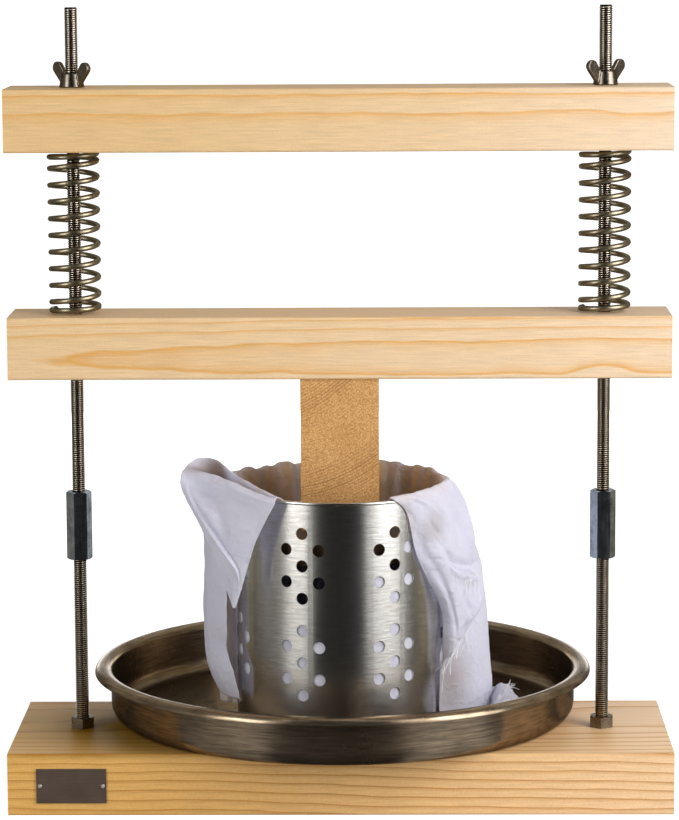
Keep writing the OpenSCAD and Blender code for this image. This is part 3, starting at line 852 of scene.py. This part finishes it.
def skirt():
    """The cloth that hangs over the rim from the right, around the back, to the left."""
    columns = 460
    rows = 150
    grid = np.empty((rows, columns, 3))
    for j, (heading, reach) in enumerate(catmull(SKIRT_WAY, np.linspace(0, 1, columns))):
        points = rim_course(heading) + hanging_course(heading, reach / 1000)
        curve = catmull(points, np.linspace(0, 1, rows))
        turn = np.radians(heading + end_slant(heading, curve[:, 1]))
        grid[:, j, 0] = curve[:, 0] * np.sin(turn)
        grid[:, j, 1] = -curve[:, 0] * np.cos(turn)
        grid[:, j, 2] = curve[:, 1]
    creases = [
        ((0.22, 0.42), (0.30, 0.95), 0.014, -2.2),
        ((0.34, 0.38), (0.31, 0.80), 0.016, 2.4),
        ((0.43, 0.45), (0.50, 0.90), 0.014, 2.0),
        ((0.56, 0.40), (0.52, 0.70), 0.018, -2.6),
        ((0.62, 0.55), (0.69, 0.97), 0.015, 2.2),
        ((0.74, 0.42), (0.70, 0.72), 0.014, -1.8),
    ]
    return pressed(grid, creases)


def inner_layer():
    """The brown layer that shows at the left between the skirt's end and the mold."""
    rows = [
        [(-73, 2, 148), (-68, -1, 148), (-64, -3, 148), (-61.3, -6, 148)],
        [(-74, 0, 120), (-68, -4, 120), (-65, -3, 120), (-61.3, -7, 120)],
        [(-73, 0, 95), (-69, -6, 95), (-64, -4, 95), (-61.3, -8, 95)],
        [(-72, 0, 70), (-67, -7, 72), (-64, -5, 72), (-61.3, -8, 72)],
        [(-71, 0, 52), (-67, -5, 52), (-64, -5, 52), (-61.3, -8, 52)],
    ]
    return net_surface(rows, 60, 30)


def right_flap():
    """The upper layer at the front right, from the rim down to its frayed hem."""
    rows = [
        [(28, -51, 172), (42, -41, 172), (52, -27, 172), (57.5, -12, 172), (59, 2, 172)],
        [(28, -52, 181), (44, -41.5, 182.5), (54.5, -27, 183.3), (60, -12, 184.3), (61, 3, 184)],
        [(31, -55, 180.8), (47, -44.5, 182), (57, -30.5, 182.4), (63.5, -13, 182.4), (65, 4, 180.5)],
        [(38.3, -49.2, 172), (51, -45.5, 166), (62, -33, 165), (68.5, -14, 166), (72, 5, 163)],
        [(43, -45.2, 150), (54, -43.5, 148), (64.5, -34, 146), (73, -14, 146), (78.2, 8, 145)],
        [(48.7, -39.2, 134.5), (58.5, -37.5, 130), (67, -31, 127), (76, -12, 128), (82.5, 8, 130)],
        [(57.8, -25.8, 113), (63, -29, 109), (69, -27, 107), (77, -18, 108), (82.5, -4, 112)],
        [(59, -23.4, 95), (62.8, -27, 95), (67.5, -27, 97), (73.5, -19, 101), (79, -10, 105)],
        [(59.2, -23.2, 80.5), (62.8, -26.5, 84), (66.8, -26.5, 89), (71, -20, 94), (74.5, -15, 99.5)],
    ]
    creases = [
        ((0.72, 0.22), (0.84, 0.55), 0.05, -5.5),
        ((0.60, 0.22), (0.70, 0.5), 0.04, 3.0),
        ((0.42, 0.52), (0.92, 0.62), 0.024, 3.2),
        ((0.45, 0.56), (0.92, 0.665), 0.020, -2.6),
        ((0.30, 0.44), (0.62, 0.58), 0.020, 1.6),
        ((0.55, 0.64), (0.80, 0.80), 0.022, 1.6),
        ((0.80, 0.60), (0.88, 0.72), 0.016, 1.2),
        ((0.86, 0.58), (0.95, 0.70), 0.016, 1.2),
        ((0.14, 0.25), (0.36, 0.34), 0.018, -1.4),
        ((0.22, 0.24), (0.46, 0.31), 0.016, 1.1),
        ((0.30, 0.30), (0.52, 0.40), 0.016, -1.1),
        ((0.24, 0.36), (0.44, 0.47), 0.02, 1.0),
        ((0.08, 0.45), (0.5, 0.85), 0.06, 1.5),
        ((0.40, 0.70), (0.58, 0.92), 0.03, -1.2),
        ((0.62, 0.72), (0.72, 0.95), 0.025, 1.0),
    ]
    return pressed(net_surface(rows, 190, 160), creases)


def left_flap():
    """The corner of the cloth that folds over the rim at the front left and bulges out beside it."""
    rows = [
        [(-58.5, -2, 172), (-54, -22.5, 172), (-44, -39, 172), (-30, -50.5, 172)],
        [(-66, 0, 187), (-58, -20, 185), (-45, -38, 182), (-32, -52, 180)],
        [(-80, -8, 197), (-72, -13, 197.3), (-60, -26, 190.5), (-35, -56, 182.5)],
        [(-87, -10, 195), (-71, -14, 187.5), (-57, -29, 184), (-35.5, -57, 181.8)],
        [(-90, -14, 192), (-74, -25, 190.5), (-60, -38, 187.5), (-36, -58.3, 181.2)],
        [(-91.5, -17, 190), (-78, -27, 182), (-59, -44, 180), (-37, -59.5, 178.5)],
        [(-91, -21, 181.5), (-78, -38, 172), (-60, -49, 170), (-41, -58.5, 171)],
        [(-81.5, -28, 163), (-72.5, -43, 158), (-61, -51, 156), (-47, -55.5, 158)],
        [(-71, -38, 143), (-65, -47, 141), (-58, -50.5, 141), (-51.8, -50.5, 143)],
        [(-66, -41, 130), (-62.5, -46, 129), (-59, -48, 129), (-55.5, -48, 130)],
        [(-61.5, -44, 117), (-60.8, -45, 116.5), (-60.2, -45, 116.5), (-59.5, -45, 117)],
    ]
    creases = [
        ((0.12, 0.57), (0.75, 0.87), 0.018, -1.9),
        ((0.16, 0.55), (0.78, 0.86), 0.016, 1.5),
        ((0.35, 0.48), (0.6, 0.66), 0.05, 1.8),
        ((0.22, 0.45), (0.55, 0.46), 0.028, -2.0),
        ((0.14, 0.52), (0.50, 0.50), 0.02, 1.0),
        ((0.50, 0.51), (0.86, 0.55), 0.025, 1.3),
        ((0.55, 0.66), (0.88, 0.64), 0.025, -1.2),
        ((0.60, 0.44), (0.95, 0.48), 0.02, -1.0),
    ]
    return pressed(net_surface(rows, 180, 150), creases)


def tray_corner():
    """A frayed end of the cloth that lies in the tray at the right."""
    rows = [
        [(84, 22, 42), (86, 8, 42), (86, -8, 41), (84, -20, 40)],
        [(89, 20, 53), (91, 7, 56), (91, -8, 55), (87, -22, 47)],
        [(96, 18, 56), (97, 5, 58), (96, -10, 55), (91, -24, 46)],
        [(102, 16, 50), (103, 4, 51), (102, -10, 47), (96, -24, 42)],
        [(105, 14, 43), (106, 2, 43), (104, -12, 41), (99, -25, 40)],
    ]
    return net_surface(rows, 40, 50)


def way_along(points):
    """Distance of each point, or of each row of a grid, from the first."""
    steps = np.linalg.norm(np.diff(points, axis=0), axis=-1)
    return np.concatenate([[0], np.cumsum(steps.reshape(len(steps), -1).mean(axis=1))])


def join_grids(name, grids, material):
    """One mesh of several grids, with each grid's lengths in metres as its texture coordinates."""
    points, faces, flat = [], [], []
    for grid in grids:
        rows, columns = grid.shape[:2]
        start = len(points)
        points.extend(grid.reshape(-1, 3))
        down = way_along(grid)
        across = way_along(np.swapaxes(grid, 0, 1))
        flat.extend((across[j], down[i]) for i in range(rows) for j in range(columns))
        for i in range(rows - 1):
            for j in range(columns - 1):
                a = start + i * columns + j
                faces.append((a, a + 1, a + columns + 1, a + columns))
    piece = mesh_object(name, points, faces, material)
    layer = piece.data.uv_layers.new(name="flat")
    for loop in piece.data.loops:
        layer.data[loop.index].uv = flat[loop.vertex_index]
    return piece


def thread_strand(points, start, heading, length, bend):
    """Adds the points of one loose thread, thinner to its end, and returns its faces."""
    sides = 3
    steps = 7
    first = len(points)
    side = heading.cross(Vector((0, 1, 0))).normalized()
    other = heading.cross(side).normalized()
    for i in range(steps + 1):
        t = i / steps
        place = start + heading * length * t + bend * (length * t * t)
        thin = STRAND_R * (1 - 0.4 * t)
        for k in range(sides):
            a = 2 * math.pi * k / sides
            points.append(place + thin * (math.cos(a) * side + math.sin(a) * other))
    return tube_faces(first, steps + 1, sides)


def fringe(name, edge, heading, length, spacing, rng, material):
    """Loose threads along an edge, drooping towards the heading."""
    points, faces = [], []
    way = way_along(edge)
    for place in np.arange(0, way[-1], spacing):
        start = Vector([np.interp(place, way, edge[:, k]) for k in range(3)])
        lean = Vector(rng.normal(0, 0.16, 3))
        direction = (Vector(heading) + lean).normalized()
        bend = Vector(rng.normal(0, 0.28, 3)) + STRAND_DROOP
        reach = length * rng.uniform(0.45, 1.25)
        start = start - direction * STRAND_ROOT
        faces.extend(thread_strand(points, start, direction, reach, bend))
    return mesh_object(name, points, faces, material)


def add_cloth(material, browned, thread):
    """The draped sheet, the brown layer behind its left end, and the frayed edges."""
    cup = wrinkled(lining(), size=0.012, height=0.00015)
    hang = wrinkled(skirt(), size=0.016, height=0.0008)
    flap = wrinkled(right_flap(), size=0.011, height=0.0009)
    corner = wrinkled(left_flap(), size=0.013, height=0.0007)
    lying = wrinkled(tray_corner(), size=0.006, height=0.0028)
    behind = wrinkled(inner_layer(), size=0.009, height=0.0008)
    drape = join_grids("cheesecloth_drape", [cup, hang, flap, corner, lying], material)
    inner = join_grids("inner_layer", [behind], browned)
    for piece in (drape, inner):
        thick = piece.modifiers.new("thickness", "SOLIDIFY")
        thick.thickness = CLOTH_T
        thick.offset = 0
    # Name, frayed edge, heading of its threads, their length and spacing.
    fringes = [
        ("flap_fringe", flap[-1], (-0.25, -0.25, -1), 0.0095, 0.0009),
        ("fold_fringe", flap[118, 96:140], (-0.3, -0.5, -0.7), 0.006, 0.0009),
        ("tray_fringe", lying[17, 18:], (0.5, -0.6, 0.6), 0.0075, 0.0004),
    ]
    rng = np.random.default_rng(7)
    trims = [inner] + [fringe(*row, rng, thread) for row in fringes]
    for piece in [drape] + trims:
        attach(piece, "mold_pot")
    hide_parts("cheesecloth")


# ---- Stage ----

CAMERA_PLACE = Vector((0.0282, -1.9094, 0.5091))
# The camera is turned to the right, tilted down and rolled by these angles.
CAMERA_YAW = -0.0157
CAMERA_PITCH = 0.149
CAMERA_ROLL = -0.0056
# Focal length and sensor width in millimetres.
CAMERA_LENS = 146.2
CAMERA_SENSOR = 36
CAMERA_SHIFT = (0.003, 0.0035)
CAMERA_REACH = 100

LAMP_AIM = Vector((0, 0, 0.2))

ROOM_LIGHT = rgb(0.265, 0.26, 0.25)
# What metal sees of the studio: degrees from the front to the right, and color.
SCREENS = [
    (-180, (1, 1, 1)),
    (-140, (0.55, 0.53, 0.48)),
    (-115, (0.26, 0.23, 0.17)),
    (-103, (0.20, 0.18, 0.15)),
    (-86, (0.26, 0.25, 0.23)),
    (-66, (0.32, 0.31, 0.30)),
    (-59, (0.62, 0.61, 0.58)),
    (-35, (0.66, 0.65, 0.62)),
    (-27, (0.015, 0.013, 0.011)),
    (24, (0.012, 0.011, 0.01)),
    (33, (1.0, 0.99, 0.98)),
    (61, (1.0, 0.99, 0.98)),
    (69, (0.17, 0.16, 0.145)),
    (86, (0.13, 0.12, 0.10)),
    (96, (0.34, 0.29, 0.19)),
    (125, (0.32, 0.28, 0.20)),
    (148, (0.60, 0.58, 0.54)),
    (180, (1, 1, 1)),
]
FLOOR_HALF = 30


def add_camera():
    """A camera in front of the press that looks slightly down."""
    data = bpy.data.cameras.new("camera")
    data.lens = CAMERA_LENS
    data.sensor_width = CAMERA_SENSOR
    data.shift_x, data.shift_y = CAMERA_SHIFT
    data.clip_end = CAMERA_REACH
    camera = new_object("camera", data)
    camera.matrix_world = (
        Matrix.Translation(CAMERA_PLACE)
        @ Matrix.Rotation(-CAMERA_YAW, 4, "Z")
        @ Matrix.Rotation(math.pi / 2 - CAMERA_PITCH, 4, "X")
        @ Matrix.Rotation(CAMERA_ROLL, 4, "Z")
    )
    bpy.context.scene.camera = camera


def add_softbox(name, heading, height, distance, size, power, color):
    """A lamp that faces the mold; its heading is in degrees from the front to the right."""
    data = bpy.data.lights.new(name, "AREA")
    data.shape = "RECTANGLE"
    data.size, data.size_y = size
    data.energy = power
    data.color = color
    lamp = new_object(name, data)
    angle = math.radians(heading)
    place = Vector((distance * math.sin(angle), -distance * math.cos(angle), height))
    lamp.rotation_euler = (LAMP_AIM - place).to_track_quat("-Z", "Y").to_euler()
    lamp.location = place


def add_lamps():
    add_softbox("key", 57, 0.6, 1.05, (0.75, 1.1), power=13.3, color=(1.0, 0.985, 0.995))
    add_softbox("fill", -47, 0.5, 1.5, (0.6, 1.3), power=9.8, color=(1.0, 0.99, 0.98))
    add_softbox("back", 180, 0.16, 1.5, (1.3, 0.3), power=7.0, color=(1, 1, 1))


def seen_ray(nodes):
    """1 for rays that show the background: from the camera, off metal or through glass."""
    path = nodes.node("LightPath")
    total = path.outputs["Is Camera Ray"]
    for name in ("Is Glossy Ray", "Is Transmission Ray"):
        total = nodes.math("MAXIMUM", total, path.outputs[name])
    return total


def camera_ray(nodes):
    return nodes.node("LightPath").outputs["Is Camera Ray"]


def surroundings(nodes, x, y):
    """The studio in the direction (x, y) from the press: white behind it, dark in front, with a
    bright screen to each side."""
    heading = nodes.math("ARCTAN2", x, nodes.math("MULTIPLY", y, -1))
    share = nodes.math("MULTIPLY_ADD", heading, 1 / (2 * math.pi), 0.5)
    return nodes.ramp(share, [((degrees + 180) / 360, rgb(*color)) for degrees, color in SCREENS])


def add_world():
    """White to the camera, the studio to metal, and one plain level of light to all else."""
    world = bpy.data.worlds.new("studio")
    world.use_nodes = True
    nodes = Nodes(world.node_tree)
    x, y, _ = nodes.split(nodes.node("TexCoord").outputs["Generated"])
    light = nodes.mix(seen_ray(nodes), ROOM_LIGHT, surroundings(nodes, x, y))
    background = nodes.node("Background")
    nodes.fill(background, Color=nodes.mix(camera_ray(nodes), light, grey(1)))
    nodes.fill(nodes.node("OutputWorld"), Surface=background.outputs[0])
    bpy.context.scene.world = world


def add_floor():
    """A pale table that the camera sees as white with the press's shadow; metal sees the studio in
    it, fainter near the press."""
    graph = Graph("floor_pale")
    x, y, _ = graph.split(graph.place)
    radius = graph.distance(x, y)
    camera = camera_ray(graph)
    glossy = graph.math("SUBTRACT", seen_ray(graph), camera)
    room = graph.times(surroundings(graph, x, y), graph.curve(radius, [(0.35, 0.48), (0.75, 1)]))
    white = graph.curve(radius, [(0.5, 0.8), (0.95, 1)])
    pale = graph.mix(graph.noise(graph.place, 30, 3.0), grey(0.60), grey(0.63))
    pale_table = graph.surface(
        Base_Color=graph.mix(glossy, pale, grey(0)),
        Roughness=0.9,
        Specular_IOR_Level=0.1,
        Emission_Color=graph.mix(glossy, white, room),
        Emission_Strength=graph.math("MAXIMUM", camera, glossy),
    )
    corners = [(x * FLOOR_HALF, y * FLOOR_HALF, 0) for x, y in ((-1, -1), (1, -1), (1, 1), (-1, 1))]
    floor = mesh_object("floor", corners, [(0, 1, 2, 3)], pale_table)


# ---- The press ----

PALE = rgb(0.80, 0.585, 0.35)
PALER = rgb(0.80, 0.635, 0.47)
AMBER = rgb(0.74, 0.38, 0.095)
# Nearly black brown: painted shade for the follower disc deep inside the mold.
PAINTED_SHADE_DARK = rgb(0.075, 0.045, 0.022)

# Grain of the plain steels, in waves per metre for (x, y, z).
FINE_GRAIN = (900, 900, 900)
WIRE_GRAIN = (250, 250, 250)
UPRIGHT_GRAIN = (900, 900, 60)


def assign(nodes, material, *names):
    for name in names:
        data = nodes[name].data
        data.materials.clear()
        data.materials.append(material)


def side_name(name, side):
    return f"{name}_{'left' if side < 0 else 'right'}"


def dress_wood(nodes):
    """Gives the wooden nodes their materials."""
    top_wood = pine(
        "pine_top", pith=(0.04, 0.38), ring=0.0035, weakest=0.85, wave=0.002,
        early=rgb(0.76, 0.53, 0.27), paler=PALER, late=AMBER,
    )
    presser_wood = pine(
        "pine_presser", pith=(0.03606, 0.2577), drift=(-0.0025, 0.011), ring=0.0016, weakest=0.85,
        wave=0.0012, early=PALE, paler=PALER, late=AMBER, knot=(0.150, 0.2515, 0.0007),
    )
    base_wood = pine(
        "pine_base", pith=(0.02, -0.09), drift=(0.02, 0.0), ring=0.0043, weakest=0.75, wave=0.005,
        early=rgb(0.77, 0.455, 0.135), paler=rgb(0.88, 0.625, 0.39), late=rgb(0.50, 0.20, 0.02),
        # Painted shade of the tray on the left of the board's top.
        painted_shade=((-0.13, 0.0, BOARD_TOP), (0.13, 0.13, 0.006)),
    )
    hidden = dict(pith=(0.05, 0.02), ring=0.005, weakest=0.3, wave=0.003)
    plain_wood = pine("pine_plain", **hidden, early=PALE, paler=PALER, late=AMBER)
    # The follower disc's wood is nearly black throughout: painted shade of the mold's inside.
    shade_dark_wood = pine("pine_shade_dark", **hidden, early=PAINTED_SHADE_DARK, paler=PAINTED_SHADE_DARK, late=PAINTED_SHADE_DARK)
    assign(nodes, top_wood, "top_beam")
    assign(nodes, presser_wood, "presser_beam")
    assign(nodes, base_wood, "base_board")
    assign(nodes, plain_wood, "block_dowels")
    assign(nodes, shade_dark_wood, "follower_disc")
    assign(nodes, end_grain("block_wood", pith=(-0.0425, 0.2873)), "pusher_block")


def dress_metal(nodes, rod_steel):
    """Gives the metal nodes that stay as they are their materials."""
    bright = worn_steel("bright_steel", rgb(0.88, 0.87, 0.84), rgb(0.60, 0.58, 0.55), 0.5, FINE_GRAIN)
    zinc = worn_steel("zinc", rgb(0.62, 0.70, 0.78), rgb(0.13, 0.17, 0.21), 0.13, UPRIGHT_GRAIN)
    mold_steel = spun_steel(
        "mold_steel", rgb(0.68, 0.67, 0.64), rgb(0.40, 0.38, 0.35), center=(0, 0),
        roughness=0.21, lines=1600, contrast=0.22, metal=1.0, edge=CLEAN_EDGE,
    )
    assign(nodes, rod_steel, "base_nut_left", "base_nut_right", "under_nuts")
    assign(nodes, bright, "plate_pins", "under_washers", "follower_screws")
    assign(nodes, zinc, "coupling_nut_left", "coupling_nut_right")
    assign(nodes, plate_metal(), "name_plate")
    assign(nodes, mold_steel, "mold")


def add_rods():
    steel = worn_steel(
        "thread_steel", rgb(0.95, 0.86, 0.73), rgb(0.66, 0.58, 0.48), 0.2, FINE_GRAIN, thread_shade
    )
    for side in (-1, 1):
        for part in ("lower_rod", "upper_rod"):
            node = side_name(part, side)
            low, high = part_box(node)
            rod = threaded_rod(f"{node}_thread", side * ROD_X, low.z, high.z, steel)
            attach(rod, "base")
            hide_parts(node)


def add_springs():
    steel = worn_steel("spring_steel", rgb(0.33, 0.29, 0.20), rgb(0.20, 0.17, 0.115), 0.3, WIRE_GRAIN)
    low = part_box("presser_beam")[1].z
    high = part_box("top_beam")[0].z
    for side in (-1, 1):
        node = side_name("spring", side)
        coil = spring(f"{node}_coil", side * ROD_X, low, high, steel)
        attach(coil, "presser")
        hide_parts(node)
        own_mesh(coil)


def add_wing_nuts(nodes, steel):
    for side in (-1, 1):
        node = side_name("wing_nut", side)
        nut = cast_copy(f"{node}_cast", nodes[node], voxel=0.00035, rounds=8, material=steel)
        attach(nut, "left_wing_nut" if side < 0 else "right_wing_nut")
        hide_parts(node)


def add_tray():
    steel = spun_steel(
        "tray_steel", rgb(0.30, 0.235, 0.165), rgb(0.16, 0.105, 0.055), center=(0, TRAY_Y),
        roughness=0.23, lines=900, contrast=0.5, metal=0.92, edge=DULL_EDGE,
    )
    tray = spun_tray("tray_spun", steel)
    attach(tray, "drip_tray")
    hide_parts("tray")


def main():
    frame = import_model()
    nodes = frame["nodes"]

    rod_steel = worn_steel("rod_steel", rgb(0.24, 0.21, 0.17), rgb(0.09, 0.075, 0.06), 0.24, FINE_GRAIN)
    dress_wood(nodes)
    dress_metal(nodes, rod_steel)
    add_rods()
    add_springs()
    add_wing_nuts(nodes, rod_steel)
    add_tray()
    add_cloth(cotton("cotton", browned=0.0), cotton("cotton_browned", browned=0.55), cotton_thread())

    add_floor()
    add_world()
    add_camera()
    add_lamps()
    bpy.context.scene.view_settings.view_transform = "Standard"


main()
